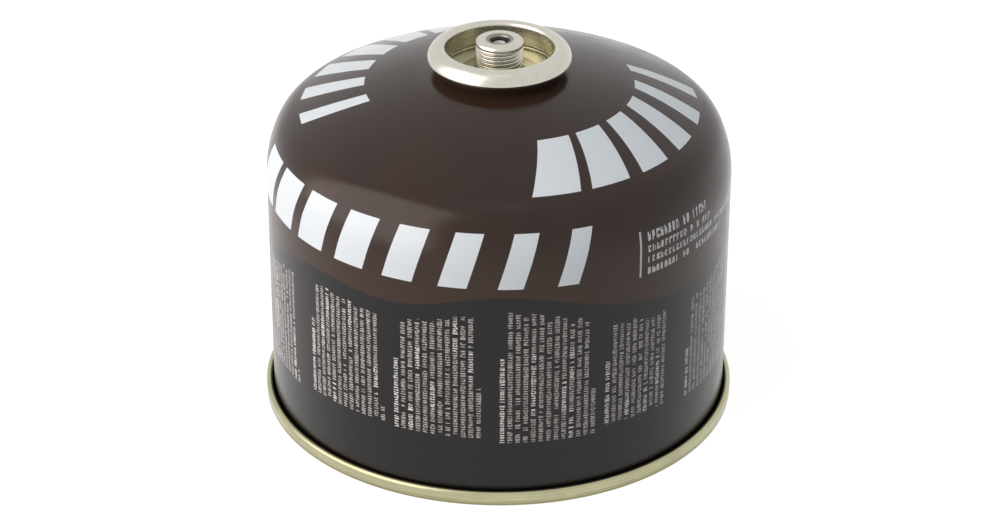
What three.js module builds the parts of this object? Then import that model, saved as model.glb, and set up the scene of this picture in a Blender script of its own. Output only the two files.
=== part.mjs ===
// A threaded gas canister: a drawn steel shell with a domed top, a base end seamed on
// below, and a valve cup clinched into the opening above.
// Millimetres, +Z up. The origin is on the axis, in the plane that the base seam stands on.
// Every piece but the spring is turned about the axis, so sections are drawn as radius and height.

import * as THREE from 'three';

// Shell
const wallRadius = 53.2;
const wallSheet = 0.3;
const wallTop = 57.4;
const shoulderRadius = 23.6;
const shoulderTurn = 24.7;
const knuckleRadius = 9.35;
const crownRadius = 101.6;
const domeSheet = 0.5;

// Opening in the dome, with its neck and rolled bead
const openingRadius = 12.7;
const neckFillet = 2;
const neckRise = 2.9;
const beadRadius = 1.2;
const beadEndAngle = -60;

// Base end and its double seam
const endSheet = 0.3;
const seamHeight = 3.5;
const foldGap = 0.3;
const hookEngagement = 1.1;
const panelRadius = 160;
const panelKnuckle = 2;
const chuckWallHeight = 3.2;

// Gasket between the bead and the cup's curl
const cupGasketThickness = 0.35;
const cupGasketSeat = 0.1;
const cupGasketHeadroom = 0.5;
const cupGasketOuterAngle = 20;
const cupGasketInnerAngle = 105;

// Valve cup
const cupSheet = 0.35;
const cupFit = 0.15;
const curlInnerTurn = 1.05;
const curlOuterTurn = 3.11;
const curlEndAngle = 4;
const clinchDepth = 0.4;
const clinchHeight = 0.75;
const floorDepth = 3.44;
const dishRadius = 9.45;
const pocketClearance = 0.3;

// Threaded post of the cup, given by its thread's outer radius
const postRadius = 5.46;
const postRise = 1.48;
const postShoulder = 0.9;
const postFoot = 1.2;
const mouthRadius = 2.2;
const lipRadius = 0.55;

// Valve inside the post
const stackGap = 0.1;
const stemGasketThickness = 1.5;
const stemGasketHole = 1.75;
const housingFit = 0.6;
const housingWall = 0.8;
const housingNeckIn = 0.6;
const housingCollarHeight = 1.6;
const housingDepth = 9.7;
const housingFloor = 1;
const inletRadius = 0.8;

// Stem
const stemFit = 0.25;
const stemRecess = 1;
const stemDimpleDepth = 0.4;
const stemFlangeRadius = 2.7;
const stemFlangeHeight = 1.2;
const stemPinRadius = 1.6;
const stemPinLength = 5.1;
const stemChamfer = 0.15;

// Spring
const springWireRadius = 0.25;
const springPinFit = 0.45;
const springSeat = 0.05;
const springActiveTurns = 5;
const springEndPitch = 0.56;

// Fineness
const shellSegments = 44;
const cupSegments = 32;
const smallSegments = 20;
const arcTolerance = 0.06;
const longestArcStep = 45;
const springSides = 6;
const springStepsPerTurn = 12;

// An arc of a section, with angles in degrees from the outward direction
function arc(centreRadius, centreHeight, radius, from, to) {
  const flatStep = 2 * Math.acos(1 - Math.min(1, arcTolerance / radius));
  const step = Math.min(longestArcStep, THREE.MathUtils.radToDeg(flatStep));
  const steps = Math.max(1, Math.ceil(Math.abs(to - from) / step));
  const points = [];
  for (let i = 0; i <= steps; i += 1) {
    const angle = THREE.MathUtils.degToRad(from + (to - from) * i / steps);
    const r = centreRadius + radius * Math.cos(angle);
    const z = centreHeight + radius * Math.sin(angle);
    points.push(new THREE.Vector2(r, z));
  }
  return points;
}

function point(r, z) {
  return new THREE.Vector2(r, z);
}

// A line through corners, each rounded by its own radius
function rounded(corners) {
  const points = [];
  corners.forEach(([r, z, radius = 0], index) => {
    const corner = point(r, z);
    if (radius === 0) {
      points.push(corner);
      return;
    }
    const [beforeR, beforeZ] = corners[index - 1];
    const [afterR, afterZ] = corners[index + 1];
    const toBefore = point(beforeR, beforeZ).sub(corner).normalize();
    const toAfter = point(afterR, afterZ).sub(corner).normalize();
    const halfAngle = Math.acos(toBefore.dot(toAfter)) / 2;
    const toCentre = toBefore.clone().add(toAfter).normalize();
    const centre = corner.clone().addScaledVector(toCentre, radius / Math.sin(halfAngle));
    const tangentLength = radius / Math.tan(halfAngle);
    const start = corner.clone().addScaledVector(toBefore, tangentLength).sub(centre);
    const end = corner.clone().addScaledVector(toAfter, tangentLength).sub(centre);
    const from = THREE.MathUtils.radToDeg(start.angle());
    let turn = THREE.MathUtils.radToDeg(end.angle()) - from;
    turn -= 360 * Math.round(turn / 360);
    points.push(...arc(centre.x, centre.y, radius, from, from + turn));
  });
  return points;
}

// One side of a sheet, at a distance to the left of its middle line
function offsetLine(line, distance) {
  return line.map((here, index) => {
    const before = line[Math.max(index - 1, 0)];
    const after = line[Math.min(index + 1, line.length - 1)];
    const directionIn = here.clone().sub(before);
    const directionOut = after.clone().sub(here);
    if (index === 0) directionIn.copy(directionOut);
    if (index === line.length - 1) directionOut.copy(directionIn);
    directionIn.normalize();
    directionOut.normalize();
    const normalIn = point(-directionIn.y, directionIn.x);
    const normalOut = point(-directionOut.y, directionOut.x);
    const mitre = normalIn.clone().add(normalOut).normalize();
    const moved = here.clone().addScaledVector(mitre, distance / mitre.dot(normalOut));
    if (here.x === 0) moved.x = 0;
    return moved;
  });
}

// The section of a folded sheet around its middle line
function sheet(line, thickness) {
  return [...offsetLine(line, thickness / 2), ...offsetLine(line, -thickness / 2).reverse()];
}

// Angle, seen from a centre on the axis, at which a large arc meets a smaller one inside it
function tangentAngle(smallCentre, bigRadius, smallRadius) {
  return THREE.MathUtils.radToDeg(Math.acos(smallCentre.x / (bigRadius - smallRadius)));
}

function turned(name, outline, segments, look) {
  const area = THREE.ShapeUtils.area(outline);
  const points = area < 0 ? [...outline].reverse() : [...outline];
  const onAxis = points[0].x === 0;
  if (!onAxis) points.push(points[0].clone());
  const geometry = new THREE.LatheGeometry(points, segments);
  geometry.rotateX(Math.PI / 2);
  const mesh = new THREE.Mesh(geometry, new THREE.MeshStandardMaterial(look));
  mesh.name = name;
  return mesh;
}

const paint = { color: 0x3d2c26, roughness: 0.32, metalness: 0.25 };
const goldTinplate = { color: 0xb9b489, roughness: 0.3, metalness: 0.9 };
const tinplate = { color: 0xb8b6ac, roughness: 0.28, metalness: 0.95 };
const darkRubber = { color: 0x2a2a2a, roughness: 0.75, metalness: 0 };
const whitePlastic = { color: 0xd8d6cf, roughness: 0.45, metalness: 0 };
const springSteel = { color: 0xa9abae, roughness: 0.3, metalness: 1 };

// Dome: wide shoulder, tight knuckle, and a crown whose centre lies on the axis
const shoulderCentre = point(wallRadius - shoulderRadius, wallTop);
const shoulderEnd = THREE.MathUtils.degToRad(shoulderTurn);
const radiusChange = shoulderRadius - knuckleRadius;
const knuckleCentre = point(
  shoulderCentre.x + radiusChange * Math.cos(shoulderEnd),
  shoulderCentre.y + radiusChange * Math.sin(shoulderEnd),
);
const crownReach = Math.sqrt((crownRadius - knuckleRadius) ** 2 - knuckleCentre.x ** 2);
const crownCentreHeight = knuckleCentre.y - crownReach;
const crownStart = tangentAngle(knuckleCentre, crownRadius, knuckleRadius);

// Neck and bead around the opening
const neckOuter = openingRadius + domeSheet;
const filletCentreRadius = neckOuter + neckFillet;
const filletReach = crownRadius + neckFillet;
const filletHeight = crownCentreHeight + Math.sqrt(filletReach ** 2 - filletCentreRadius ** 2);
const crownEnd = THREE.MathUtils.radToDeg(Math.acos(filletCentreRadius / filletReach));
const beadCentreRadius = openingRadius + beadRadius;
const neckOuterHeight = crownCentreHeight + Math.sqrt(crownRadius ** 2 - neckOuter ** 2);
const beadHeight = neckOuterHeight + neckRise;

// Heights of the valve, counted from the centre of the curl's outer turn
const curlInside = curlOuterTurn - cupSheet;
const gasketTop = beadRadius + cupGasketSeat + cupGasketThickness;
const valveHeight = beadHeight + gasketTop + cupGasketHeadroom - curlInside;
const cupWallMiddle = openingRadius - cupFit - cupSheet / 2;
const curlInnerMiddle = curlInnerTurn - cupSheet / 2;
const curlOuterMiddle = curlOuterTurn - cupSheet / 2;
const curlCrestRadius = cupWallMiddle + curlInnerMiddle;
const curlInnerCentre = curlOuterTurn - curlInnerTurn;
const clinchMiddle = cupWallMiddle + clinchDepth;
const pocketRadius = clinchMiddle + cupSheet / 2 + cupFit;
const neckInside = neckFillet + domeSheet;
const neckEnd = THREE.MathUtils.radToDeg(Math.acos((filletCentreRadius - pocketRadius) / neckInside));
const neckDrop = neckInside * Math.sin(THREE.MathUtils.degToRad(neckEnd));
const clinchTop = filletHeight - neckDrop - valveHeight;
const clinchBottom = clinchTop - clinchHeight;
const floorMiddle = -floorDepth - cupSheet / 2;
const postTop = curlOuterTurn + postRise;
const postMiddle = postRadius - cupSheet / 2;
const postTopMiddle = postTop - cupSheet / 2;
const lipMiddle = lipRadius - cupSheet / 2;
const lipEnd = postTop - lipRadius;
const stemGasketTop = lipEnd - stackGap;
const stemGasketBottom = stemGasketTop - stemGasketThickness;
const housingTop = stemGasketBottom - stackGap;
const housingBottom = housingTop - housingDepth;
const housingCollar = postRadius - cupSheet - housingFit;
const housingBarrel = housingCollar - housingNeckIn;
const housingBore = housingBarrel - housingWall;
const housingFloorTop = housingBottom + housingFloor;

// Double seam: the shell's hook and the end's hook, each a sheet folded round the other
const chuckMiddle = wallRadius - wallSheet - foldGap - endSheet / 2;
const endHookMiddle = wallRadius + foldGap + endSheet / 2;
const shellHookMiddle = endHookMiddle + endSheet / 2 + foldGap + wallSheet / 2;
const seamWallMiddle = shellHookMiddle + wallSheet / 2 + foldGap + endSheet / 2;
const shellHookFold = (shellHookMiddle - wallRadius + wallSheet / 2) / 2;
const shellFoldHeight = endSheet + foldGap + shellHookFold + wallSheet / 2;
const endHookFold = (seamWallMiddle - endHookMiddle) / 2;
const endFoldHeight = seamHeight - endSheet / 2 - endHookFold;
const panelKnuckleCentre = point(chuckMiddle - panelKnuckle, chuckWallHeight);
const panelReach = Math.sqrt((panelRadius - panelKnuckle) ** 2 - panelKnuckleCentre.x ** 2);
const panelCentreHeight = chuckWallHeight - panelReach;
const panelEnd = tangentAngle(panelKnuckleCentre, panelRadius, panelKnuckle);

// A domed surface over the base end, raised by a distance from the end's middle line
function panelLine(raise) {
  const panel = arc(0, panelCentreHeight, panelRadius + raise, 90, panelEnd);
  panel.push(...arc(panelKnuckleCentre.x, chuckWallHeight, panelKnuckle + raise, panelEnd, 0).slice(1));
  panel[0].x = 0;
  return panel;
}

// The dome as seen from outside, from the wall up to the fillet of the neck
function domeLine() {
  const crown = arc(0, crownCentreHeight, crownRadius, crownStart, crownEnd);
  return [
    ...arc(shoulderCentre.x, shoulderCentre.y, shoulderRadius, 0, shoulderTurn),
    ...arc(knuckleCentre.x, knuckleCentre.y, knuckleRadius, shoulderTurn, crownStart).slice(1),
    ...crown.slice(1),
  ];
}

// Middle line of the valve cup below its curl, ending in the lip of the mouth
function cupWallCorners() {
  return [
    [cupWallMiddle, curlInnerCentre],
    [cupWallMiddle, clinchTop + clinchDepth, clinchDepth],
    [clinchMiddle, clinchTop, clinchDepth / 2],
    [clinchMiddle, clinchBottom, clinchDepth],
    [dishRadius, floorMiddle, postFoot],
    [postMiddle, floorMiddle, postFoot],
    [postMiddle, postTopMiddle, postShoulder - cupSheet / 2],
    [mouthRadius + cupSheet / 2, postTopMiddle, lipMiddle],
    [mouthRadius + cupSheet / 2, lipEnd],
  ];
}

// Hollow in the shell's contents that takes the cup's floor and the valve housing
function valvePocket() {
  const drop = cupSheet / 2 + pocketClearance;
  const slope = (clinchBottom - floorMiddle) / (clinchMiddle - dishRadius);
  const slopeDrop = drop * Math.hypot(1, slope);
  const floorPocket = valveHeight + floorMiddle - drop;
  const slopeFoot = dishRadius + (slopeDrop - drop) / slope;
  const slopeTop = floorPocket + slope * (pocketRadius - slopeFoot);
  const barrelPocket = housingBarrel + pocketClearance;
  const pocketBottom = valveHeight + housingBottom - pocketClearance;
  return [
    ...arc(filletCentreRadius, filletHeight, neckInside, 180, 180 + neckEnd),
    point(pocketRadius, slopeTop),
    point(slopeFoot, floorPocket),
    point(barrelPocket, floorPocket),
    point(barrelPocket, pocketBottom),
    point(0, pocketBottom),
  ];
}

function makeCanBody() {
  const foldCentre = wallRadius - wallSheet + shellHookFold + wallSheet / 2;
  const foldOuter = shellHookFold + wallSheet / 2;
  const foldInner = shellHookFold - wallSheet / 2;
  const hookTip = shellFoldHeight + hookEngagement;
  const outline = [
    ...panelLine(endSheet / 2 + foldGap),
    ...arc(foldCentre, shellFoldHeight, foldOuter, 180, 360),
    point(shellHookMiddle + wallSheet / 2, hookTip),
    point(shellHookMiddle - wallSheet / 2, hookTip),
    ...arc(foldCentre, shellFoldHeight, foldInner, 0, -180),
    ...domeLine(),
    ...arc(filletCentreRadius, filletHeight, neckFillet, 180 + crownEnd, 180),
    ...arc(beadCentreRadius, beadHeight, beadRadius - domeSheet, 180, beadEndAngle),
    ...arc(beadCentreRadius, beadHeight, beadRadius, beadEndAngle, 180),
    ...valvePocket(),
  ];
  return turned('can_body', outline, shellSegments, paint);
}

function makeBaseEnd() {
  const cornerRadius = (endHookMiddle - chuckMiddle) / 2;
  const line = [
    ...panelLine(0),
    ...rounded([
      [chuckMiddle, chuckWallHeight],
      [chuckMiddle, endSheet / 2, cornerRadius],
      [seamWallMiddle, endSheet / 2, cornerRadius],
      [seamWallMiddle, endFoldHeight],
    ]).slice(1),
    ...arc(seamWallMiddle - endHookFold, endFoldHeight, endHookFold, 0, 180).slice(1),
    point(endHookMiddle, endFoldHeight - hookEngagement),
  ];
  return turned('base_end', sheet(line, endSheet), shellSegments, goldTinplate);
}

function makeValveCup() {
  const line = [
    ...arc(curlCrestRadius, 0, curlOuterMiddle, curlEndAngle, 90),
    ...arc(curlCrestRadius, curlInnerCentre, curlInnerMiddle, 90, 180).slice(1),
    ...rounded(cupWallCorners()).slice(1, -1),
  ];
  return turned('valve_cup', sheet(line, cupSheet), cupSegments, tinplate);
}

function makeCupGasket() {
  const inner = beadRadius + cupGasketSeat;
  const outer = inner + cupGasketThickness;
  const drop = beadHeight - valveHeight;
  const outline = [
    ...arc(beadCentreRadius, drop, inner, cupGasketOuterAngle, cupGasketInnerAngle),
    ...arc(beadCentreRadius, drop, outer, cupGasketInnerAngle, cupGasketOuterAngle),
  ];
  return turned('cup_gasket', outline, cupSegments, darkRubber);
}

function makeStemGasket() {
  const outline = [
    point(stemGasketHole, stemGasketTop),
    point(stemGasketHole, stemGasketBottom),
    point(housingCollar, stemGasketBottom),
    point(housingCollar, stemGasketTop),
  ];
  return turned('stem_gasket', outline, smallSegments, darkRubber);
}

function makeHousing() {
  const collarFoot = housingTop - housingCollarHeight;
  const outline = [
    point(housingCollar, housingTop),
    point(housingCollar, collarFoot),
    point(housingBarrel, collarFoot - housingNeckIn),
    point(housingBarrel, housingBottom),
    point(inletRadius, housingBottom),
    point(inletRadius, housingFloorTop),
    point(housingBore, housingFloorTop),
    point(housingBore, housingTop),
  ];
  return turned('valve_housing', outline, smallSegments, whitePlastic);
}

// The stem is drawn down from its flange's top face, and placed under the stem gasket
function makeStem() {
  const bossRadius = stemGasketHole - stemFit;
  const bossHeight = postTop - stemRecess - housingTop;
  const dimpleRadius = bossRadius - stemFit;
  const pinFoot = -stemFlangeHeight - stemPinLength;
  const outline = [
    point(0, bossHeight - stemDimpleDepth),
    point(dimpleRadius - stemDimpleDepth, bossHeight - stemDimpleDepth),
    point(dimpleRadius, bossHeight),
    point(bossRadius - stemChamfer, bossHeight),
    point(bossRadius, bossHeight - stemChamfer),
    point(bossRadius, 0),
    point(stemFlangeRadius, 0),
    point(stemFlangeRadius, -stemFlangeHeight),
    point(stemPinRadius, -stemFlangeHeight),
    point(stemPinRadius, pinFoot + stemChamfer),
    point(stemPinRadius - stemChamfer, pinFoot),
    point(0, pinFoot),
  ];
  const stem = turned('valve_stem', outline, smallSegments, whitePlastic);
  stem.position.z = housingTop;
  return stem;
}

// A compression spring whose first and last turns lie flat
class SpringPath extends THREE.Curve {
  constructor(radius, height, activeTurns, endPitch) {
    super();
    this.radius = radius;
    this.height = height;
    this.turns = activeTurns + 2;
    this.endPitch = endPitch;
  }

  getPoint(t, target = new THREE.Vector3()) {
    const turn = t * this.turns;
    const activePitch = (this.height - 2 * this.endPitch) / (this.turns - 2);
    const intoActive = THREE.MathUtils.clamp(turn - 1, 0, this.turns - 2);
    const intoEnds = turn - intoActive;
    const angle = turn * 2 * Math.PI;
    const z = intoEnds * this.endPitch + intoActive * activePitch;
    return target.set(this.radius * Math.cos(angle), this.radius * Math.sin(angle), z);
  }
}

function makeSpring() {
  const section = new THREE.Shape();
  for (let side = 0; side < springSides; side += 1) {
    const angle = side / springSides * 2 * Math.PI;
    const x = springWireRadius * Math.cos(angle);
    const y = springWireRadius * Math.sin(angle);
    if (side === 0) section.moveTo(x, y);
    else section.lineTo(x, y);
  }
  section.closePath();
  const bottom = housingFloorTop + springSeat + springWireRadius;
  const top = housingTop - stemFlangeHeight - springSeat - springWireRadius;
  const radius = stemPinRadius + springPinFit + springWireRadius;
  const extrudePath = new SpringPath(radius, top - bottom, springActiveTurns, springEndPitch);
  const steps = springStepsPerTurn * extrudePath.turns;
  const options = { steps, bevelEnabled: false, extrudePath };
  const geometry = new THREE.ExtrudeGeometry(section, options);
  const spring = new THREE.Mesh(geometry, new THREE.MeshStandardMaterial(springSteel));
  spring.name = 'valve_spring';
  spring.position.z = bottom;
  return spring;
}

const valve = new THREE.Group();
valve.position.z = valveHeight;
valve.add(makeValveCup(), makeCupGasket(), makeStemGasket());
valve.add(makeHousing(), makeStem(), makeSpring());

const canister = new THREE.Group();
canister.add(makeCanBody(), makeBaseEnd(), valve);

export default canister;
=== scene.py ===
"""A threaded gas canister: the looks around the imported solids.

Every visible piece is turned about the canister's axis, so each section is drawn as
(radius, height) in millimetres and meshed in metres.
"""

import math

import bpy
from mathutils import Euler, Matrix, Vector


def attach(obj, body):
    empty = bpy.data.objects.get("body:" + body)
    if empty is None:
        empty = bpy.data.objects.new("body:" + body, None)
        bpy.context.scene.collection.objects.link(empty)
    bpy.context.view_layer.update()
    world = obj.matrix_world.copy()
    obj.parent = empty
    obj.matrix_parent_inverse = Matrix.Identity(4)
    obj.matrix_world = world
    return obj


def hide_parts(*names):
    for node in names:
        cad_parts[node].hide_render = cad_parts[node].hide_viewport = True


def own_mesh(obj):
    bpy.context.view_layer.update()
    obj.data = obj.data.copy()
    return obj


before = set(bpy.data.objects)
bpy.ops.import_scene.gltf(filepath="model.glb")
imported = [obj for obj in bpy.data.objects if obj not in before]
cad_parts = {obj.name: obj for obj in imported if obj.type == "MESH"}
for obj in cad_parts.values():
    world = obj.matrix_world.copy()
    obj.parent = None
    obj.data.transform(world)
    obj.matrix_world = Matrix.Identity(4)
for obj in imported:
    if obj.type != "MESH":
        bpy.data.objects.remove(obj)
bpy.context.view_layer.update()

MM = 0.001
SAME_POINT = 1e-5

# How finely each piece is turned, in steps round the axis
BODY_SEGMENTS = 256
CUP_SEGMENTS = 180
CUP_GASKET_SEGMENTS = 96
STEM_GASKET_SEGMENTS = 72
STEM_SEGMENTS = 64

# Edges that turn by more than this, in degrees, are shaded as edges
SHARP_ANGLE = 32
SHARP_ANGLE_THREADED = 75
SHARP_ANGLE_COILED = 50

# Shell
WALL_RADIUS = 53.2
WALL_SHEET = 0.3
WALL_TOP = 57.4
SHOULDER_RADIUS = 23.6
SHOULDER_TURN = 24.7
KNUCKLE_RADIUS = 9.35
CROWN_RADIUS = 101.6
DOME_SHEET = 0.5

# Opening, neck and bead
OPENING_RADIUS = 12.7
NECK_FILLET = 2.0
NECK_RISE = 2.9
BEAD_RADIUS = 1.2
BEAD_END_ANGLE = -60

# Base end and double seam
END_SHEET = 0.3
SEAM_HEIGHT = 3.5
FOLD_GAP = 0.3
HOOK_ENGAGEMENT = 1.1
PANEL_RADIUS = 160.0
PANEL_KNUCKLE = 2.0
CHUCK_WALL_HEIGHT = 3.2

# Cup gasket
CUP_GASKET_THICKNESS = 0.35
CUP_GASKET_SEAT = 0.1
CUP_GASKET_HEADROOM = 0.5
CUP_GASKET_OUTER_ANGLE = 20
CUP_GASKET_INNER_ANGLE = 105

# Valve cup and its threaded post
CUP_SHEET = 0.35
CUP_FIT = 0.15
CURL_INNER_TURN = 1.05
CURL_OUTER_TURN = 3.11
CURL_END_ANGLE = 4
CLINCH_DEPTH = 0.4
CLINCH_HEIGHT = 0.75
FLOOR_DEPTH = 3.44
DISH_RADIUS = 9.45
POCKET_CLEARANCE = 0.3
POST_RADIUS = 5.46
POST_RISE = 1.48
POST_SHOULDER = 0.9
POST_FOOT = 1.2
MOUTH_RADIUS = 2.2
LIP_RADIUS = 0.55
THREAD_PITCH = 25.4 / 28
THREAD_DEPTH = 0.46
THREAD_TURNS = 5.2
THREAD_START = 0.1
THREAD_RUN_OUT = 0.45
THREAD_ROWS_PER_TURN = 22

# Valve inside the post
STACK_GAP = 0.1
STEM_GASKET_THICKNESS = 1.5
STEM_GASKET_HOLE = 1.75
STEM_GASKET_EDGE = 0.12
HOUSING_DEPTH = 9.7
HOUSING_FLOOR = 1.0
HOUSING_FIT = 0.6
HOUSING_NECK_IN = 0.6
STEM_FIT = 0.25
STEM_RECESS = 1.0
STEM_DIMPLE_DEPTH = 0.4
STEM_DIMPLE_EDGE = 0.08
STEM_FLANGE_RADIUS = 2.7
STEM_FLANGE_HEIGHT = 1.2
STEM_PIN_RADIUS = 1.6
STEM_PIN_LENGTH = 5.1
STEM_CHAMFER = 0.15
SPRING_WIRE_RADIUS = 0.25
SPRING_PIN_FIT = 0.45
SPRING_SEAT = 0.05
SPRING_ACTIVE_TURNS = 5
SPRING_END_PITCH = 0.56


def arc(centre_radius, centre_height, radius, start, end, step=6.0):
    """Points of a section's arc, with angles in degrees from the outward direction."""
    steps = max(2, math.ceil(abs(end - start) / step))
    points = []
    for i in range(steps + 1):
        angle = math.radians(start + (end - start) * i / steps)
        r = centre_radius + radius * math.cos(angle)
        points.append((r, centre_height + radius * math.sin(angle)))
    return points


def rounded(corners):
    """A line through (radius, height, rounding) corners."""
    points = []
    for i, (r, z, rounding) in enumerate(corners):
        if rounding == 0:
            points.append((r, z))
            continue
        corner = Vector((r, z))
        to_before = (Vector(corners[i - 1][:2]) - corner).normalized()
        to_after = (Vector(corners[i + 1][:2]) - corner).normalized()
        half = to_before.angle(to_after) / 2
        centre = corner + (to_before + to_after).normalized() * (rounding / math.sin(half))
        first = corner + to_before * (rounding / math.tan(half)) - centre
        last = corner + to_after * (rounding / math.tan(half)) - centre
        start = math.degrees(math.atan2(first.y, first.x))
        turn = math.degrees(math.atan2(last.y, last.x)) - start
        turn -= 360 * round(turn / 360)
        points.extend(arc(centre.x, centre.y, rounding, start, start + turn))
    return points


def offset_line(line, distance):
    """The line moved to its left by a distance, with mitred corners."""
    moved = []
    for i, here in enumerate(line):
        here = Vector(here)
        before = Vector(line[max(i - 1, 0)])
        after = Vector(line[min(i + 1, len(line) - 1)])
        into = (here - before) if i > 0 else (after - here)
        out = (after - here) if i < len(line) - 1 else into
        into.normalize()
        out.normalize()
        normal_in = Vector((-into.y, into.x))
        normal_out = Vector((-out.y, out.x))
        mitre = (normal_in + normal_out).normalized()
        place = here + mitre * (distance / mitre.dot(normal_out))
        moved.append((0.0 if here.x == 0 else place.x, place.y))
    return moved


def sheet(line, thickness):
    """The section of a folded sheet around its middle line."""
    return offset_line(line, thickness / 2) + offset_line(line, -thickness / 2)[::-1]


def subdivided(start, end, parts):
    """Evenly spaced points from start to end, both included."""
    return [
        (start[0] + (end[0] - start[0]) * i / parts, start[1] + (end[1] - start[1]) * i / parts)
        for i in range(parts + 1)
    ]


def without_repeats(outline):
    """Drops points that lie on the one before."""
    kept = [outline[0]]
    for point in outline[1:]:
        if math.dist(point, kept[-1]) > SAME_POINT:
            kept.append(point)
    if kept[0][0] > 0 and math.dist(kept[0], kept[-1]) < SAME_POINT:
        kept.pop()
    return kept


def smooth_piece(name, vertices, faces, sharp_angle):
    """A smoothly shaded piece in the scene, from its points and faces."""
    mesh = bpy.data.meshes.new(name)
    mesh.from_pydata(vertices, [], faces)
    mesh.update()
    mesh.polygons.foreach_set("use_smooth", [True] * len(mesh.polygons))
    mesh.set_sharp_from_angle(angle=math.radians(sharp_angle))
    piece = bpy.data.objects.new(name, mesh)
    bpy.context.scene.collection.objects.link(piece)
    return piece


def turned(name, outline, segments, shape=None):
    """A closed solid of revolution; shape(r, z, angle) may move a point's radius."""
    points = without_repeats(outline)
    area = sum(
        a[0] * b[1] - b[0] * a[1] for a, b in zip(points, points[1:] + points[:1])
    )
    if area < 0:
        points.reverse()
    vertices = []
    rings = []
    for r, z in points:
        if r == 0:
            rings.append([len(vertices)] * segments)
            vertices.append((0.0, 0.0, z * MM))
            continue
        first = len(vertices)
        for k in range(segments):
            angle = 2 * math.pi * k / segments
            radius = r if shape is None else shape(r, z, angle)
            vertices.append((radius * MM * math.cos(angle), radius * MM * math.sin(angle), z * MM))
        rings.append(list(range(first, first + segments)))
    closes_on_axis = points[0][0] == 0
    pairs = list(zip(rings, rings[1:]))
    if not closes_on_axis:
        pairs.append((rings[-1], rings[0]))
    faces = []
    for low, high in pairs:
        for k in range(segments):
            after = (k + 1) % segments
            face = [low[k], low[after], high[after], high[k]]
            face = list(dict.fromkeys(face))
            if len(face) > 2:
                faces.append(face)
    sharp_angle = SHARP_ANGLE if shape is None else SHARP_ANGLE_THREADED
    return smooth_piece(name, vertices, faces, sharp_angle)


def degrees_acos(value):
    return math.degrees(math.acos(value))


# Dome
shoulder_centre = Vector((WALL_RADIUS - SHOULDER_RADIUS, WALL_TOP))
shoulder_end = math.radians(SHOULDER_TURN)
knuckle_centre = shoulder_centre + (SHOULDER_RADIUS - KNUCKLE_RADIUS) * Vector(
    (math.cos(shoulder_end), math.sin(shoulder_end))
)
crown_height = knuckle_centre.y - math.sqrt(
    (CROWN_RADIUS - KNUCKLE_RADIUS) ** 2 - knuckle_centre.x ** 2
)
crown_start = degrees_acos(knuckle_centre.x / (CROWN_RADIUS - KNUCKLE_RADIUS))

# Neck and bead
neck_outer = OPENING_RADIUS + DOME_SHEET
fillet_radius = neck_outer + NECK_FILLET
fillet_height = crown_height + math.sqrt((CROWN_RADIUS + NECK_FILLET) ** 2 - fillet_radius ** 2)
crown_end = degrees_acos(fillet_radius / (CROWN_RADIUS + NECK_FILLET))
bead_centre = OPENING_RADIUS + BEAD_RADIUS
bead_height = crown_height + math.sqrt(CROWN_RADIUS ** 2 - neck_outer ** 2) + NECK_RISE

# Valve cup
curl_inside = CURL_OUTER_TURN - CUP_SHEET
gasket_top = BEAD_RADIUS + CUP_GASKET_SEAT + CUP_GASKET_THICKNESS
valve_height = bead_height + gasket_top + CUP_GASKET_HEADROOM - curl_inside
cup_wall = OPENING_RADIUS - CUP_FIT - CUP_SHEET / 2
curl_inner_middle = CURL_INNER_TURN - CUP_SHEET / 2
curl_outer_middle = CURL_OUTER_TURN - CUP_SHEET / 2
curl_inner_centre = valve_height + CURL_OUTER_TURN - CURL_INNER_TURN
clinch_middle = cup_wall + CLINCH_DEPTH
pocket_radius = clinch_middle + CUP_SHEET / 2 + CUP_FIT
neck_inside = NECK_FILLET + DOME_SHEET
neck_end = degrees_acos((fillet_radius - pocket_radius) / neck_inside)
clinch_top = fillet_height - neck_inside * math.sin(math.radians(neck_end))
clinch_bottom = clinch_top - CLINCH_HEIGHT
floor_middle = valve_height - FLOOR_DEPTH - CUP_SHEET / 2
post_top = valve_height + CURL_OUTER_TURN + POST_RISE
post_middle = POST_RADIUS - CUP_SHEET / 2
lip_end = post_top - LIP_RADIUS
stem_gasket_top = lip_end - STACK_GAP
stem_gasket_bottom = stem_gasket_top - STEM_GASKET_THICKNESS
housing_top = stem_gasket_bottom - STACK_GAP
housing_bottom = housing_top - HOUSING_DEPTH
housing_collar = POST_RADIUS - CUP_SHEET - HOUSING_FIT
housing_barrel = housing_collar - HOUSING_NECK_IN

# Double seam
chuck_middle = WALL_RADIUS - WALL_SHEET - FOLD_GAP - END_SHEET / 2
end_hook = WALL_RADIUS + FOLD_GAP + END_SHEET / 2
shell_hook = end_hook + END_SHEET / 2 + FOLD_GAP + WALL_SHEET / 2
seam_wall = shell_hook + WALL_SHEET / 2 + FOLD_GAP + END_SHEET / 2
shell_fold = (shell_hook - WALL_RADIUS + WALL_SHEET / 2) / 2
shell_fold_height = END_SHEET + FOLD_GAP + shell_fold + WALL_SHEET / 2
end_fold = (seam_wall - end_hook) / 2
end_fold_height = SEAM_HEIGHT - END_SHEET / 2 - end_fold
panel_knuckle_radius = chuck_middle - PANEL_KNUCKLE
panel_height = CHUCK_WALL_HEIGHT - math.sqrt(
    (PANEL_RADIUS - PANEL_KNUCKLE) ** 2 - panel_knuckle_radius ** 2
)
panel_end = degrees_acos(panel_knuckle_radius / (PANEL_RADIUS - PANEL_KNUCKLE))


def panel_line(rise):
    """The concave panel of the base, raised from the sheet's middle line."""
    line = arc(0, panel_height, PANEL_RADIUS + rise, 90, panel_end, 1.0)
    line += arc(panel_knuckle_radius, CHUCK_WALL_HEIGHT, PANEL_KNUCKLE + rise, panel_end, 0)[1:]
    line[0] = (0.0, line[0][1])
    return line


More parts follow.
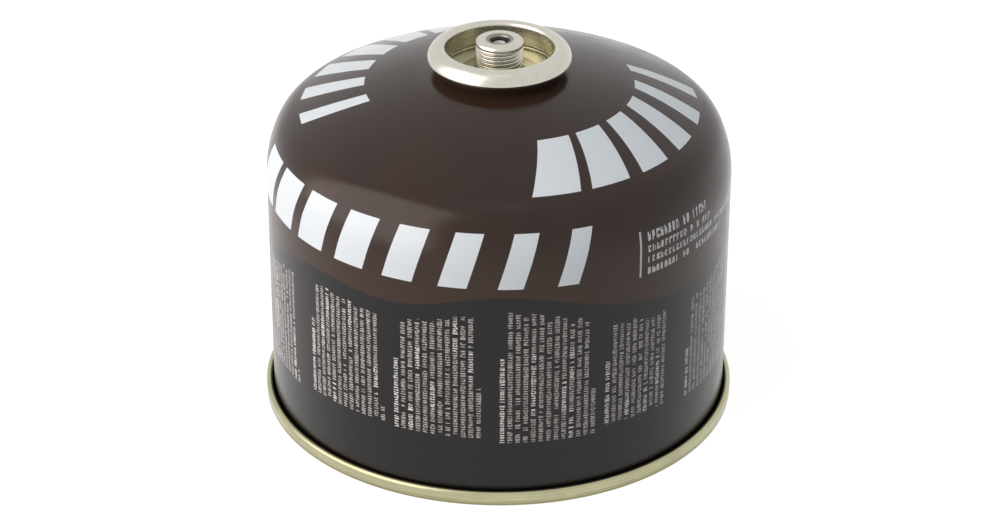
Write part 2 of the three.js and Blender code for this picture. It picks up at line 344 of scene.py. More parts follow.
def make_shell():
    fold = WALL_RADIUS - WALL_SHEET / 2 + shell_fold
    hook_tip = shell_fold_height + HOOK_ENGAGEMENT
    slope = (clinch_bottom - floor_middle) / (clinch_middle - DISH_RADIUS)
    drop = CUP_SHEET / 2 + POCKET_CLEARANCE
    floor_pocket = floor_middle - drop
    slope_foot = DISH_RADIUS + (drop * math.hypot(1, slope) - drop) / slope
    barrel_pocket = housing_barrel + POCKET_CLEARANCE
    pocket_bottom = housing_bottom - POCKET_CLEARANCE
    outline = (
        panel_line(END_SHEET / 2 + FOLD_GAP)
        + arc(fold, shell_fold_height, shell_fold + WALL_SHEET / 2, 180, 360, 20)
        + [(shell_hook + WALL_SHEET / 2, hook_tip), (shell_hook - WALL_SHEET / 2, hook_tip)]
        + arc(fold, shell_fold_height, shell_fold - WALL_SHEET / 2, 0, -180, 20)
        + subdivided((WALL_RADIUS, shell_fold_height), (WALL_RADIUS, WALL_TOP), 12)
        + arc(*shoulder_centre, SHOULDER_RADIUS, 0, SHOULDER_TURN, 1.5)[1:]
        + arc(*knuckle_centre, KNUCKLE_RADIUS, SHOULDER_TURN, crown_start, 2)[1:]
        + arc(0, crown_height, CROWN_RADIUS, crown_start, crown_end, 1)[1:]
        + arc(fillet_radius, fillet_height, NECK_FILLET, 180 + crown_end, 180, 8)
        + arc(bead_centre, bead_height, BEAD_RADIUS - DOME_SHEET, 180, BEAD_END_ANGLE, 15)
        + arc(bead_centre, bead_height, BEAD_RADIUS, BEAD_END_ANGLE, 180, 15)
        + arc(fillet_radius, fillet_height, neck_inside, 180, 180 + neck_end, 10)
        + [
            (pocket_radius, floor_pocket + slope * (pocket_radius - slope_foot)),
            (slope_foot, floor_pocket),
            (barrel_pocket, floor_pocket),
            (barrel_pocket, pocket_bottom),
            (0.0, pocket_bottom),
        ]
    )
    return turned("shell", outline, BODY_SEGMENTS)


def make_base():
    corner = (end_hook - chuck_middle) / 2
    line = (
        panel_line(0)
        + rounded([
            (chuck_middle, CHUCK_WALL_HEIGHT, 0),
            (chuck_middle, END_SHEET / 2, corner),
            (seam_wall, END_SHEET / 2, corner),
            (seam_wall, end_fold_height, 0),
        ])[1:]
        + arc(seam_wall - end_fold, end_fold_height, end_fold, 0, 180, 10)[1:]
        + [(end_hook, end_fold_height - HOOK_ENGAGEMENT)]
    )
    return turned("seamed_base", sheet(line, END_SHEET), BODY_SEGMENTS)


def smooth_step(value):
    value = min(1.0, max(0.0, value))
    return value * value * (3 - 2 * value)


def thread_cut(z, angle):
    """How deep the rolled thread goes at a height, 0 on a crest or off the thread."""
    top = post_top - POST_SHOULDER - THREAD_START
    bottom = top - THREAD_TURNS * THREAD_PITCH
    fade = THREAD_PITCH * THREAD_RUN_OUT
    window = smooth_step((z - bottom) / fade) * smooth_step((top - z) / fade)
    turn = z / THREAD_PITCH - angle / (2 * math.pi)
    wave = 0.5 - 0.5 * math.cos(2 * math.pi * turn)
    return THREAD_DEPTH * window * wave


def make_cup():
    post_foot_height = floor_middle + POST_FOOT
    shoulder_foot = post_top - POST_SHOULDER
    rows = round((shoulder_foot - post_foot_height) / THREAD_PITCH * THREAD_ROWS_PER_TURN)
    top_middle = post_top - CUP_SHEET / 2
    lip = MOUTH_RADIUS + CUP_SHEET / 2
    before_post = rounded([
        (cup_wall, curl_inner_centre, 0),
        (cup_wall, clinch_top + CLINCH_DEPTH, CLINCH_DEPTH),
        (clinch_middle, clinch_top, CLINCH_DEPTH / 2),
        (clinch_middle, clinch_bottom, CLINCH_DEPTH),
        (DISH_RADIUS, floor_middle, POST_FOOT),
        (post_middle, floor_middle, POST_FOOT),
        (post_middle, post_foot_height, 0),
    ])
    post = subdivided((post_middle, post_foot_height), (post_middle, shoulder_foot), rows)
    after_post = rounded([
        (post_middle, shoulder_foot, 0),
        (post_middle, top_middle, POST_SHOULDER - CUP_SHEET / 2),
        (lip, top_middle, LIP_RADIUS - CUP_SHEET / 2),
        (lip, lip_end, 0),
    ])
    crest = cup_wall + curl_inner_middle
    curl = arc(crest, valve_height, curl_outer_middle, CURL_END_ANGLE, 90, 6)
    curl += arc(crest, curl_inner_centre, curl_inner_middle, 90, 180, 9)[1:]
    line = without_repeats(curl + before_post[1:] + post + after_post)

    # Takes in both faces of the post's wall, which lie half a sheet from its middle
    reach = CUP_SHEET * 0.6

    def shape(r, z, angle):
        on_post = abs(r - post_middle) < reach and post_foot_height < z < shoulder_foot
        return r - thread_cut(z, angle) if on_post else r

    return turned("mounting_cup", sheet(line, CUP_SHEET), CUP_SEGMENTS, shape)


def make_cup_gasket():
    inner = BEAD_RADIUS + CUP_GASKET_SEAT
    outer = inner + CUP_GASKET_THICKNESS
    angles = (CUP_GASKET_OUTER_ANGLE, CUP_GASKET_INNER_ANGLE)
    outline = arc(bead_centre, bead_height, inner, *angles)
    outline += arc(bead_centre, bead_height, outer, *angles[::-1])
    return turned("curl_gasket", outline, CUP_GASKET_SEGMENTS)


def make_stem_gasket():
    edge = STEM_GASKET_EDGE
    third = STEM_GASKET_THICKNESS / 3
    outline = rounded([
        (STEM_GASKET_HOLE, stem_gasket_top - third, 0),
        (STEM_GASKET_HOLE, stem_gasket_top, edge),
        (housing_collar, stem_gasket_top, edge),
        (housing_collar, stem_gasket_bottom, edge),
        (STEM_GASKET_HOLE, stem_gasket_bottom, edge),
        (STEM_GASKET_HOLE, stem_gasket_bottom + third, 0),
    ])
    return turned("stem_seal", outline, STEM_GASKET_SEGMENTS)


def make_stem():
    boss = STEM_GASKET_HOLE - STEM_FIT
    top = post_top - STEM_RECESS
    dimple = boss - STEM_FIT
    foot = housing_top - STEM_FLANGE_HEIGHT
    pin_foot = foot - STEM_PIN_LENGTH
    outline = [(0.0, top - STEM_DIMPLE_DEPTH)] + rounded([
        (dimple - STEM_DIMPLE_DEPTH, top - STEM_DIMPLE_DEPTH, 0),
        (dimple, top, STEM_DIMPLE_EDGE),
        (boss, top, STEM_CHAMFER),
        (boss, housing_top, 0),
        (STEM_FLANGE_RADIUS, housing_top, STEM_CHAMFER),
        (STEM_FLANGE_RADIUS, foot, STEM_CHAMFER),
        (STEM_PIN_RADIUS, foot, 0),
        (STEM_PIN_RADIUS, pin_foot, STEM_CHAMFER),
        (0.0, pin_foot, 0),
    ])
    return turned("plunger", outline, STEM_SEGMENTS)


def make_spring():
    """The closed coil as a swept wire, its first and last turns lying flat."""
    bottom = housing_bottom + HOUSING_FLOOR + SPRING_SEAT + SPRING_WIRE_RADIUS
    top = housing_top - STEM_FLANGE_HEIGHT - SPRING_SEAT - SPRING_WIRE_RADIUS
    radius = STEM_PIN_RADIUS + SPRING_PIN_FIT + SPRING_WIRE_RADIUS
    turns = SPRING_ACTIVE_TURNS + 2
    active_pitch = (top - bottom - 2 * SPRING_END_PITCH) / SPRING_ACTIVE_TURNS
    steps_per_turn = 28
    sides = 10
    vertices = []
    for i in range(turns * steps_per_turn + 1):
        turn = i / steps_per_turn
        into_active = min(max(turn - 1, 0), turns - 2)
        z = bottom + (turn - into_active) * SPRING_END_PITCH + into_active * active_pitch
        angle = 2 * math.pi * turn
        for side in range(sides):
            around = 2 * math.pi * side / sides
            r = radius + SPRING_WIRE_RADIUS * math.cos(around)
            height = z + SPRING_WIRE_RADIUS * math.sin(around)
            vertices.append((r * MM * math.cos(angle), r * MM * math.sin(angle), height * MM))
    faces = []
    for i in range(turns * steps_per_turn):
        for side in range(sides):
            a = i * sides + side
            b = i * sides + (side + 1) % sides
            faces.append((a, a + sides, b + sides, b))
    last = turns * steps_per_turn * sides
    faces.append(tuple(range(sides)))
    faces.append(tuple(last + side for side in reversed(range(sides))))
    return smooth_piece("return_spring", vertices, faces, SHARP_ANGLE_COILED)


class Shader:
    """Builds one material's nodes, so that a formula reads as a formula."""

    def __init__(self, name):
        self.material = bpy.data.materials.new(name)
        self.material.use_nodes = True
        self.tree = self.material.node_tree
        self.tree.nodes.clear()
        self.output = self.tree.nodes.new("ShaderNodeOutputMaterial")
        self.bsdf = self.tree.nodes.new("ShaderNodeBsdfPrincipled")
        self.tree.links.new(self.bsdf.outputs["BSDF"], self.output.inputs["Surface"])
        self.object_place = self.tree.nodes.new("ShaderNodeTexCoord").outputs["Object"]
        millimetres = self.tree.nodes.new("ShaderNodeVectorMath")
        millimetres.operation = "SCALE"
        self.tree.links.new(self.object_place, millimetres.inputs[0])
        millimetres.inputs["Scale"].default_value = 1 / MM
        self.place = millimetres.outputs[0]
        split = self.tree.nodes.new("ShaderNodeSeparateXYZ")
        self.tree.links.new(self.place, split.inputs[0])
        self.x, self.y, self.z = split.outputs
        self.angle = self.math("ARCTAN2", self.x, self.math("MULTIPLY", self.y, -1))
        squares = self.math("ADD", self.math("POWER", self.x, 2), self.math("POWER", self.y, 2))
        self.radius = self.math("SQRT", squares)

    def feed(self, socket, value):
        if isinstance(value, (int, float)):
            socket.default_value = value
        elif isinstance(value, tuple):
            socket.default_value = (*value, 1.0) if len(socket.default_value) == 4 else value
        else:
            self.tree.links.new(value, socket)

    def set(self, **values):
        for name, value in values.items():
            self.feed(self.bsdf.inputs[name.replace("_", " ")], value)

    def math(self, operation, a, b=0.0, c=0.0):
        node = self.tree.nodes.new("ShaderNodeMath")
        node.operation = operation
        for socket, value in zip(node.inputs, (a, b, c)):
            self.feed(socket, value)
        return node.outputs[0]

    def add(self, *values):
        total = values[0]
        for value in values[1:]:
            total = self.math("ADD", total, value)
        return total

    def times(self, *values):
        product = values[0]
        for value in values[1:]:
            product = self.math("MULTIPLY", product, value)
        return product

    def minus(self, a, b):
        return self.math("SUBTRACT", a, b)

    def ramp(self, value, low, high, to_low=0.0, to_high=1.0):
        """Smoothly from to_low at low to to_high at high."""
        node = self.tree.nodes.new("ShaderNodeMapRange")
        node.interpolation_type = "SMOOTHSTEP"
        self.feed(node.inputs["Value"], value)
        for name, number in (
            ("From Min", low), ("From Max", high), ("To Min", to_low), ("To Max", to_high),
        ):
            self.feed(node.inputs[name], number)
        return node.outputs[0]

    def between(self, value, low, high):
        above = self.math("GREATER_THAN", value, low)
        return self.times(above, self.math("LESS_THAN", value, high))

    def mix(self, factor, a, b):
        node = self.tree.nodes.new("ShaderNodeMix")
        node.data_type = "RGBA"
        colour_a, colour_b = [socket for socket in node.inputs if socket.type == "RGBA"]
        self.feed(node.inputs["Factor"], factor)
        self.feed(colour_a, a)
        self.feed(colour_b, b)
        return next(socket for socket in node.outputs if socket.type == "RGBA")

    def vector(self, x, y, z):
        node = self.tree.nodes.new("ShaderNodeCombineXYZ")
        for socket, value in zip(node.inputs, (x, y, z)):
            self.feed(socket, value)
        return node.outputs[0]

    def noise(self, place, scale, detail=2.0, roughness=0.5):
        node = self.tree.nodes.new("ShaderNodeTexNoise")
        self.feed(node.inputs["Vector"], place)
        node.inputs["Scale"].default_value = scale
        node.inputs["Detail"].default_value = detail
        node.inputs["Roughness"].default_value = roughness
        return node.outputs["Fac"]

    def chance(self, x, y, seed):
        """A random number from 0 to 1 for each pair of whole numbers."""
        node = self.tree.nodes.new("ShaderNodeTexWhiteNoise")
        node.noise_dimensions = "3D"
        place = self.vector(self.add(x, 0.5), self.add(y, 0.5), seed + 0.5)
        self.feed(node.inputs["Vector"], place)
        return node.outputs["Value"]

    def bump(self, height, distance):
        """Gives the surface its relief; the distance is in millimetres."""
        node = self.tree.nodes.new("ShaderNodeBump")
        node.inputs["Strength"].default_value = 1.0
        node.inputs["Distance"].default_value = distance * MM
        self.feed(node.inputs["Height"], height)
        self.tree.links.new(node.outputs["Normal"], self.bsdf.inputs["Normal"])

    def turning_streaks(self, fineness, stretch=0.6):
        """Fine lines round the axis, as a tool leaves on a turned or drawn piece."""
        place = self.vector(
            self.times(self.radius, fineness),
            self.times(self.z, fineness),
            self.times(self.angle, stretch),
        )
        return self.noise(place, 1.0, 3.0, 0.6)


# Print and painted light on the shell, in millimetres and degrees
BROWN = (0.024, 0.0085, 0.0032)
BROWN_DEEP = (0.019, 0.0066, 0.0028)
# Painted light: a lighter brown low on the wall, standing in for light the paint shows there
BROWN_PAINTED_LIGHT_LOW = (0.036, 0.015, 0.0062)
# Painted light: a lighter brown near the neck, softening the dark band under the ring
BROWN_PAINTED_LIGHT_NECK = (0.036, 0.02, 0.013)
CHARCOAL = (0.0042, 0.0032, 0.0032)
PALE_INK = (0.70, 0.78, 0.83)
FINE_INK = (0.44, 0.41, 0.4)
BOLD_INK = (0.72, 0.7, 0.69)
NOTE_INK = (0.6, 0.62, 0.63)
# Heights over which the painted light low on the wall fades in
PAINTED_LIGHT_LOW_HEIGHTS = (72.0, 48.0)
# Radii over which the painted light near the neck fades in
PAINTED_LIGHT_NECK_RADII = (20.5, 17.0)
LINES_ROUND = 194
LINES_PER_COLUMN = 14
LINE_FOOT = 15.2
LETTER_PITCH = 0.62
FIELD_EDGE = 48.6

# The bars: the side's along the wall in millimetres, the dome's round it in degrees
SIDE_BAND = (54.3, 66.8)
DOME_BAND = (30.6, 45.4)
DOME_BARS_ABOVE = 70.0
SIDE_BARS = {"start": -79.0, "length": 105.0, "count": 8, "lean": 0.3}
DOME_BARS = {"start": 9.0, "length": 104.0, "count": 6, "lean": 0.45}
FIRST_BAR_SHARE = 0.8
BARS_THIN_BY = 0.5

# The note: its rule, then each row's foot, height and last degree
RULE_DEGREES = (35.2, 35.75)
RULE_HEIGHTS = (52.0, 63.0)
NOTE_START = 37.6
NOTE_PITCH = 1.25
NOTE_ROWS = ((60.3, 2.1, 60.0), (57.6, 1.6, 62.0), (55.0, 1.5, 78.0), (52.2, 1.6, 70.0))

# Metals, darker than bare ones, so that the white studio doesn't clip them
GOLD = (0.47, 0.455, 0.29)
GOLD_BLOTCH = (0.4, 0.39, 0.24)
GOLD_STREAK = (0.26, 0.24, 0.14)
GOLD_MARK = (0.16, 0.14, 0.07)
# Painted shade: the seam's foot, darkened where it meets the floor
GOLD_FOOT_PAINTED_SHADE = (0.2, 0.18, 0.09)
TIN = (0.6, 0.58, 0.51)
TIN_MOTTLE = (0.57, 0.55, 0.48)
TIN_IN_CUP = (0.44, 0.42, 0.29)
# Painted shade: the lip round the post's mouth, darkened as a painted dark reflection
TIN_MOUTH_PAINTED_SHADE = (0.16, 0.14, 0.12)


def field_edge(s):
    """Height of the gentle wave between the charcoal field and the brown one."""
    waves = [
        s.times(amplitude, s.math("SINE", s.add(s.times(s.angle, count), phase)))
        for count, amplitude, phase in ((3, 2.9, 2.2), (5, 1.9, 0.4), (8, 0.6, 1.9))
    ]
    return s.add(FIELD_EDGE, *waves)


def strokes(s, line, in_line, along, pitch, seed):
    """Rows of small upright marks in ragged groups; they spell nothing."""
    step = s.times(along, 1 / pitch)
    mark = s.math("FLOOR", step)
    in_mark = s.minus(step, mark)
    group = s.math("FLOOR", s.times(s.add(mark, s.times(s.chance(line, 0, seed), 3.0)), 1 / 3))
    apart = s.math("GREATER_THAN", s.chance(line, group, seed + 1), 0.42)
    between_groups = s.math("GREATER_THAN", s.chance(line, mark, seed + 2), 0.84)
    spaced = s.minus(1.0, s.times(apart, between_groups))
    wide = s.math("LESS_THAN", in_mark, s.add(0.5, s.times(s.chance(line, mark, seed + 3), 0.35)))
    tall = s.add(0.24, s.times(s.chance(mark, line, seed + 4), 0.1))
    high = s.math("LESS_THAN", s.math("ABSOLUTE", s.minus(in_line, 0.5)), tall)
    row = s.math("FLOOR", s.times(s.add(s.minus(in_line, 0.5), tall), s.math("DIVIDE", 1.5, tall)))
    half = s.math("FLOOR", s.times(in_mark, 3.4))
    cell = s.chance(s.add(s.times(line, 3.0), row), s.add(s.times(mark, 5.0), half), seed + 5)
    inked = s.math("MAXIMUM", s.math("LESS_THAN", half, 0.5), s.math("GREATER_THAN", cell, 0.42))
    return s.times(spaced, wide, high, inked)


def fine_print(s, edge):
    """Columns of upright lines of marks, ragged at the top, and the bold part of them."""
    across = s.times(s.angle, LINES_ROUND / (2 * math.pi))
    line = s.math("FLOOR", across)
    in_line = s.minus(across, line)
    column = s.math("FLOOR", s.times(line, 1 / LINES_PER_COLUMN))
    place_in_column = s.minus(line, s.times(column, LINES_PER_COLUMN))
    lines_here = s.math("FLOOR", s.add(10.0, s.times(s.chance(column, 0, 3), 3.0)))
    printed = s.math("LESS_THAN", place_in_column, s.add(lines_here, 0.5))
    first = s.math("LESS_THAN", place_in_column, 0.5)
    last = s.math("GREATER_THAN", place_in_column, s.minus(lines_here, 0.5))
    bold_part = s.math("GREATER_THAN", s.chance(line, s.math("FLOOR", s.times(s.z, 0.13)), 9), 0.93)
    bold = s.math("MAXIMUM", first, bold_part)
    top = s.minus(edge, s.add(
        3.6,
        s.times(s.chance(line, 2, 7), 1.2),
        s.times(first, s.add(4.0, s.times(s.chance(column, 4, 15), 9.0))),
        s.times(last, s.add(8.0, s.times(s.chance(column, 5, 17), 17.0))),
    ))
    foot = s.add(LINE_FOOT, s.times(s.chance(column, 6, 19), 2.2))
    marks = strokes(s, line, in_line, s.z, LETTER_PITCH, 21)
    inked = s.times(printed, s.between(s.z, foot, top), marks)
    return inked, s.times(inked, bold)


def slanted_bars(s, along, up, start, length, count, band, lean):
    """Bars at an even pitch, each thinner than the last."""
    low, high = band
    pitch = length / count
    place = s.minus(s.minus(along, start), s.times(s.minus(up, low), lean))
    step = s.times(place, 1 / pitch)
    index = s.math("FLOOR", step)
    in_step = s.minus(step, index)
    share = s.minus(FIRST_BAR_SHARE, s.times(index, BARS_THIN_BY / count))
    inside = s.times(s.between(index, -0.5, count - 0.5), s.math("LESS_THAN", in_step, share))
    return s.times(inside, s.between(up, low, high))


def side_note(s, degrees):
    """A slim upright rule with four rows of marks beside it."""
    rule = s.times(s.between(degrees, *RULE_DEGREES), s.between(s.z, *RULE_HEIGHTS))
    along = s.times(degrees, WALL_RADIUS * math.pi / 180)
    rows = []
    for row, (foot, height, last_degree) in enumerate(NOTE_ROWS):
        in_row = s.times(s.minus(s.z, foot), 1 / height)
        on_row = s.times(s.between(in_row, 0.0, 1.0), s.between(degrees, NOTE_START, last_degree))
        in_line = s.add(0.25, s.times(in_row, 0.5))
        rows.append(s.times(on_row, strokes(s, row, in_line, along, NOTE_PITCH, 41)))
    return s.add(rule, *rows)


def make_paint():
    s = Shader("printed_paint")
    edge = field_edge(s)
    degrees = s.times(s.angle, 180 / math.pi)
    arc_length = s.times(s.angle, WALL_RADIUS)

    upper = s.ramp(s.z, s.minus(edge, 0.25), s.add(edge, 0.25))
    cloud = s.noise(s.place, 0.045, 3.0)
    brown = s.mix(s.ramp(cloud, 0.35, 0.65), BROWN, BROWN_DEEP)
    # Painted light: the brown turns lighter towards the bottom of the wall
    brown = s.mix(s.ramp(s.z, *PAINTED_LIGHT_LOW_HEIGHTS), brown, BROWN_PAINTED_LIGHT_LOW)
    # Painted light: the brown turns lighter near the neck, under the ring
    brown = s.mix(s.ramp(s.radius, *PAINTED_LIGHT_NECK_RADII), brown, BROWN_PAINTED_LIGHT_NECK)
    ground = s.mix(upper, CHARCOAL, brown)

    side_bars = slanted_bars(s, arc_length, s.z, band=SIDE_BAND, **SIDE_BARS)
    inward = s.minus(DOME_BAND[1], s.radius)
    turn = s.math("WRAP", degrees, 180.0, 0.0)
    dome_depth = DOME_BAND[1] - DOME_BAND[0]
    dome_bars = slanted_bars(s, turn, inward, band=(0.0, dome_depth), **DOME_BARS)
    dome_bars = s.times(dome_bars, s.math("GREATER_THAN", s.z, DOME_BARS_ABOVE))
    big_print = s.math("MAXIMUM", side_bars, dome_bars)
    note = side_note(s, degrees)
    fine, bold = fine_print(s, edge)
    with_fine = s.mix(bold, s.mix(fine, ground, FINE_INK), BOLD_INK)
    with_note = s.mix(note, with_fine, NOTE_INK)
    colour = s.mix(big_print, with_note, PALE_INK)

    smear = s.noise(s.place, 0.12, 4.0, 0.6)
    s.set(
        Base_Color=colour,
        Roughness=s.ramp(smear, 0.3, 0.7, 0.19, 0.25),
        IOR=1.5,
        Specular_IOR_Level=0.34,
        Metallic=0.0,
    )
    peel = s.noise(s.place, 0.55, 2.0)
    s.bump(s.add(peel, s.times(big_print, 0.5)), 0.012)
    return s.material


def make_gold():
    s = Shader("gold_lacquered_tinplate")
    streaks = s.turning_streaks(2.4)
    blotches = s.noise(s.place, 0.09, 3.0)
    gold = s.mix(s.ramp(blotches, 0.3, 0.7), GOLD, GOLD_BLOTCH)
    gold = s.mix(s.ramp(streaks, 0.35, 0.8, 0.0, 0.25), gold, GOLD_STREAK)
    mark_height = s.add(1.15, s.times(s.noise(s.vector(s.angle, 0, 0), 2.0, 2.0), 0.35))
    off_mark = s.math("ABSOLUTE", s.minus(s.z, mark_height))
    mark_strength = s.ramp(s.noise(s.vector(s.angle, 3, 0), 3.0, 1.0), 0.42, 0.55)
    on_seam = s.math("GREATER_THAN", s.radius, seam_wall)
    mark = s.times(s.math("LESS_THAN", off_mark, 0.07), mark_strength, on_seam)
    gold = s.mix(s.times(mark, 0.75), gold, GOLD_MARK)
    # Painted shade: darker towards the seam's foot, next to the floor
    gold = s.mix(s.ramp(s.z, 1.4, 0.5, 0.0, 0.8), gold, GOLD_FOOT_PAINTED_SHADE)
    s.set(
        Base_Color=gold,
        Metallic=1.0,
        Roughness=s.ramp(streaks, 0.2, 0.8, 0.2, 0.36),
    )
    s.bump(s.add(s.times(streaks, 0.3), s.times(mark, -6.0)), 0.002)
    return s.material


def make_tinplate():
    s = Shader("bright_tinplate")
    streaks = s.turning_streaks(1.3)
    mottle = s.noise(s.place, 0.35, 2.0, 0.5)
    tin = s.mix(s.ramp(mottle, 0.35, 0.7), TIN, TIN_MOTTLE)
    inside_cup = s.times(
        s.math("LESS_THAN", s.radius, cup_wall + CLINCH_DEPTH + 0.3),
        s.math("LESS_THAN", s.z, valve_height + 0.6),
    )
    tin = s.mix(s.times(inside_cup, 0.8), tin, TIN_IN_CUP)
    # Painted shade on the lip round the post's mouth, a painted dark reflection
    mouth_shade = s.times(s.ramp(s.radius, 3.4, 2.9), s.ramp(s.z, post_top - 0.7, post_top - 0.3))
    tin = s.mix(s.times(mouth_shade, 0.8), tin, TIN_MOUTH_PAINTED_SHADE)
    wear = s.add(s.times(streaks, 0.4), s.times(mottle, 0.6))
    s.set(
        Base_Color=tin,
        Metallic=1.0,
        Roughness=s.ramp(wear, 0.3, 0.7, 0.26, 0.28),
    )
    s.bump(mottle, 0.0004)
    return s.material


def make_wire():
    s = Shader("drawn_wire")
    grain = s.noise(s.place, 3.0, 3.0)
    s.set(
        Base_Color=s.mix(grain, (0.5, 0.5, 0.52), (0.36, 0.36, 0.38)),
        Metallic=1.0,
        Roughness=s.ramp(grain, 0.3, 0.7, 0.25, 0.4),
    )
    s.bump(grain, 0.01)
    return s.material


def make_plastic(name, colour, darker, roughness):
    s = Shader(name)
    grain = s.noise(s.place, 1.6, 3.0)
    s.set(
        Base_Color=s.mix(s.ramp(grain, 0.3, 0.7), colour, darker),
        Roughness=s.ramp(grain, 0.3, 0.7, roughness, roughness + 0.12),
    )
    s.bump(s.noise(s.place, 6.0, 2.0), 0.01)
    return s.material


def only_seen(tree, seen, unseen):
    """Gives camera, glossy and transmission rays one shader and all other rays the second."""
    path = tree.nodes.new("ShaderNodeLightPath")
    switch = tree.nodes.new("ShaderNodeMixShader")
    seen_by = path.outputs["Is Camera Ray"]
    for ray in ("Is Glossy Ray", "Is Transmission Ray"):
        either = tree.nodes.new("ShaderNodeMath")
        either.operation = "MAXIMUM"
        tree.links.new(seen_by, either.inputs[0])
        tree.links.new(path.outputs[ray], either.inputs[1])
        seen_by = either.outputs[0]
    tree.links.new(seen_by, switch.inputs[0])
    tree.links.new(unseen, switch.inputs[1])
    tree.links.new(seen, switch.inputs[2])
    return switch.outputs[0]


def make_floor():
    """A plain floor, pale with a soft shadow where it is seen or mirrored.

    The light that it throws back on the object is a dim satin grey's.
    """
    half = 1.6
    mesh = bpy.data.meshes.new("studio_floor")
    corners = [(-half, -half, 0), (half, -half, 0), (half, half, 0), (-half, half, 0)]
    mesh.from_pydata(corners, [], [(0, 1, 2, 3)])
    floor = bpy.data.objects.new("studio_floor", mesh)
    bpy.context.scene.collection.objects.link(floor)
    s = Shader("studio_floor_paint")
    s.set(Base_Color=(0.2, 0.2, 0.2), Roughness=1.0, Specular_IOR_Level=0.0)
    polish = s.tree.nodes.new("ShaderNodeBsdfGlossy")
    polish.inputs["Roughness"].default_value = 0.2
    table = s.tree.nodes.new("ShaderNodeMixShader")
    table.inputs[0].default_value = 0.35
    s.tree.links.new(s.bsdf.outputs[0], table.inputs[1])
    s.tree.links.new(polish.outputs[0], table.inputs[2])
    pale = s.tree.nodes.new("ShaderNodeBsdfDiffuse")
    pale.inputs["Color"].default_value = (0.35, 0.35, 0.35, 1)
    glow = s.tree.nodes.new("ShaderNodeEmission")
    glow.inputs["Strength"].default_value = 0.88
    both = s.tree.nodes.new("ShaderNodeAddShader")
    s.tree.links.new(pale.outputs[0], both.inputs[0])
    s.tree.links.new(glow.outputs[0], both.inputs[1])
    shown = only_seen(s.tree, both.outputs[0], table.outputs[0])
    s.tree.links.new(shown, s.output.inputs["Surface"])
    mesh.materials.append(s.material)


def make_softbox(name, azimuth, distance, height, tilt, size, radiance, colour):
    """An area lamp round the canister; azimuth 0 is in front, positive to the right.

    A tilt of 0 stands it upright, and 90 lays it flat, facing down.
    """
    a = math.radians(azimuth)
    data = bpy.data.lights.new(name, "AREA")
    data.shape = "RECTANGLE"
    data.size, data.size_y = size
    data.energy = radiance * math.pi * size[0] * size[1]
    data.color = colour
    lamp = bpy.data.objects.new(name, data)
    lamp.location = (math.sin(a) * distance, -math.cos(a) * distance, height)
    lamp.rotation_euler = Euler((math.radians(90 - tilt), 0, a))
    lamp.visible_camera = False
    bpy.context.scene.collection.objects.link(lamp)


FILL_FRONT = 0.55
FILL_BACK = 0.05
FILL_GAP = 0.6


def make_world():
    """White where it is seen or mirrored; it lights the object mostly from the front.

    The fill is dim at the back and in a gap at the middle of the front.
    """
    world = bpy.data.worlds.new("studio")
    bpy.context.scene.world = world
    world.use_nodes = True
    tree = world.node_tree
    tree.nodes.clear()
    output = tree.nodes.new("ShaderNodeOutputWorld")
    seen = tree.nodes.new("ShaderNodeBackground")
    fill = tree.nodes.new("ShaderNodeBackground")
    direction = tree.nodes.new("ShaderNodeTexCoord")
    split = tree.nodes.new("ShaderNodeSeparateXYZ")
    tree.links.new(direction.outputs["Generated"], split.inputs[0])

    def smooth_range(value, low, high, to_low, to_high):
        node = tree.nodes.new("ShaderNodeMapRange")
        node.interpolation_type = "SMOOTHSTEP"
        tree.links.new(value, node.inputs["Value"])
        for name, number in (
            ("From Min", low), ("From Max", high), ("To Min", to_low), ("To Max", to_high),
        ):
            node.inputs[name].default_value = number
        return node.outputs[0]

    to_back = smooth_range(split.outputs["Y"], 0.2, 0.75, FILL_FRONT, FILL_BACK)
    sideways = tree.nodes.new("ShaderNodeMath")
    sideways.operation = "ABSOLUTE"
    tree.links.new(split.outputs["X"], sideways.inputs[0])
    near_middle = smooth_range(sideways.outputs[0], 0.1, 0.3, FILL_GAP, 0)
    in_front = smooth_range(split.outputs["Y"], -0.5, -0.8, 0, 1)
    gap = tree.nodes.new("ShaderNodeMath")
    gap.operation = "MULTIPLY"
    tree.links.new(near_middle, gap.inputs[0])
    tree.links.new(in_front, gap.inputs[1])
    dimmed = tree.nodes.new("ShaderNodeMath")
    dimmed.operation = "MULTIPLY_ADD"
    tree.links.new(gap.outputs[0], dimmed.inputs[0])
    dimmed.inputs[1].default_value = -FILL_FRONT
    tree.links.new(to_back, dimmed.inputs[2])
    tree.links.new(dimmed.outputs[0], fill.inputs["Strength"])
    shown = only_seen(tree, seen.outputs[0], fill.outputs[0])
    seen.inputs["Color"].default_value = (1, 1, 1, 1)
    fill.inputs["Color"].default_value = (1, 1, 1, 1)
    tree.links.new(shown, output.inputs["Surface"])


# The photograph's camera, in millimetres and degrees, for a frame 1000 pixels wide
IMAGE_WIDTH = 1000
FOCAL_PIXELS = 3032.64
AXIS_COLUMN = 498.63
CAMERA_DISTANCE = 621.08
CAMERA_HEIGHT = 372.39
CAMERA_PITCH = 28.734
CAMERA_ROLL = 0.246


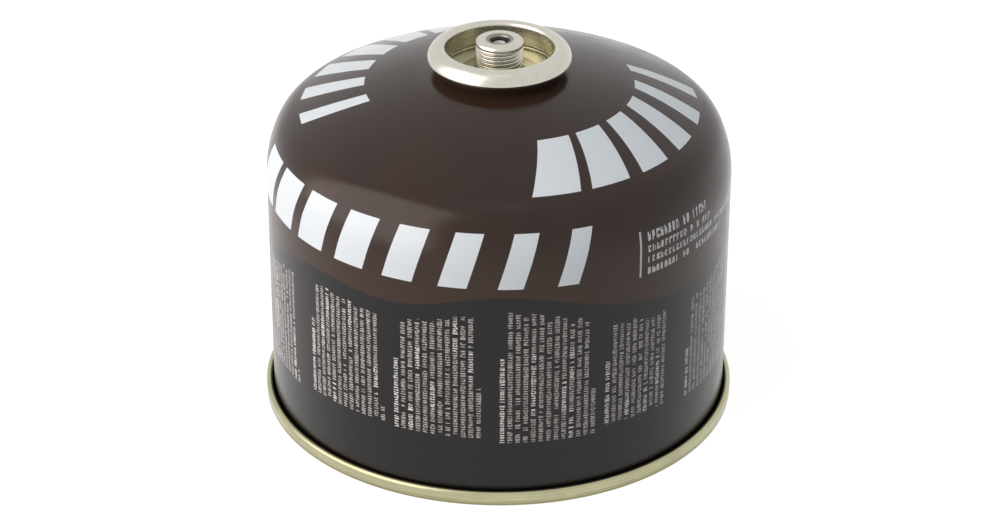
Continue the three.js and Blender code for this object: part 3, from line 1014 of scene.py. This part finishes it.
def make_camera():
    data = bpy.data.cameras.new("photo_camera")
    data.sensor_fit = "HORIZONTAL"
    data.sensor_width = 36.0
    data.lens = FOCAL_PIXELS / IMAGE_WIDTH * data.sensor_width
    data.clip_start = 0.01
    data.clip_end = 20
    camera = bpy.data.objects.new("photo_camera", data)
    bpy.context.scene.collection.objects.link(camera)
    yaw = -math.atan((IMAGE_WIDTH / 2 - AXIS_COLUMN) / FOCAL_PIXELS)
    turn = Matrix.Rotation(yaw, 4, "Z") @ Matrix.Rotation(math.radians(90 - CAMERA_PITCH), 4, "X")
    turn = turn @ Matrix.Rotation(math.radians(CAMERA_ROLL), 4, "Z")
    camera.matrix_world = Matrix.Translation((0, -CAMERA_DISTANCE * MM, CAMERA_HEIGHT * MM)) @ turn
    bpy.context.scene.camera = camera


def dress(piece, material, body, node):
    piece.data.materials.append(material)
    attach(piece, body)
    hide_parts(node)


make_camera()
tinplate = make_tinplate()
rubber = make_plastic("seal_rubber", (0.02, 0.02, 0.02), (0.012, 0.012, 0.012), 0.55)
stem_plastic = make_plastic("stem_acetal", (0.62, 0.62, 0.6), (0.52, 0.52, 0.5), 0.3)
housing_plastic = make_plastic("housing_acetal", (0.66, 0.65, 0.61), (0.56, 0.55, 0.52), 0.4)

dress(make_shell(), make_paint(), "canister", "can_body")
dress(make_base(), make_gold(), "canister", "base_end")
dress(make_cup(), tinplate, "canister", "valve_cup")
dress(make_cup_gasket(), rubber, "canister", "cup_gasket")
dress(make_stem_gasket(), rubber, "canister", "stem_gasket")
dress(make_stem(), stem_plastic, "stem", "valve_stem")

spring = make_spring()
dress(spring, make_wire(), "canister", "valve_spring")
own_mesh(spring)

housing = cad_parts["valve_housing"]
for material_slot in housing.material_slots:
    material_slot.material = housing_plastic

make_floor()
make_world()
make_softbox("key_softbox", -66, 0.5, 0.56, 0, (0.72, 1.1), 2.2, (1.0, 0.885, 0.84))
make_softbox("top_softbox", 0, 0.1, 0.9, 85, (0.3, 0.3), 0.3, (1.0, 0.8, 0.7))

bpy.context.scene.view_settings.view_transform = "Standard"
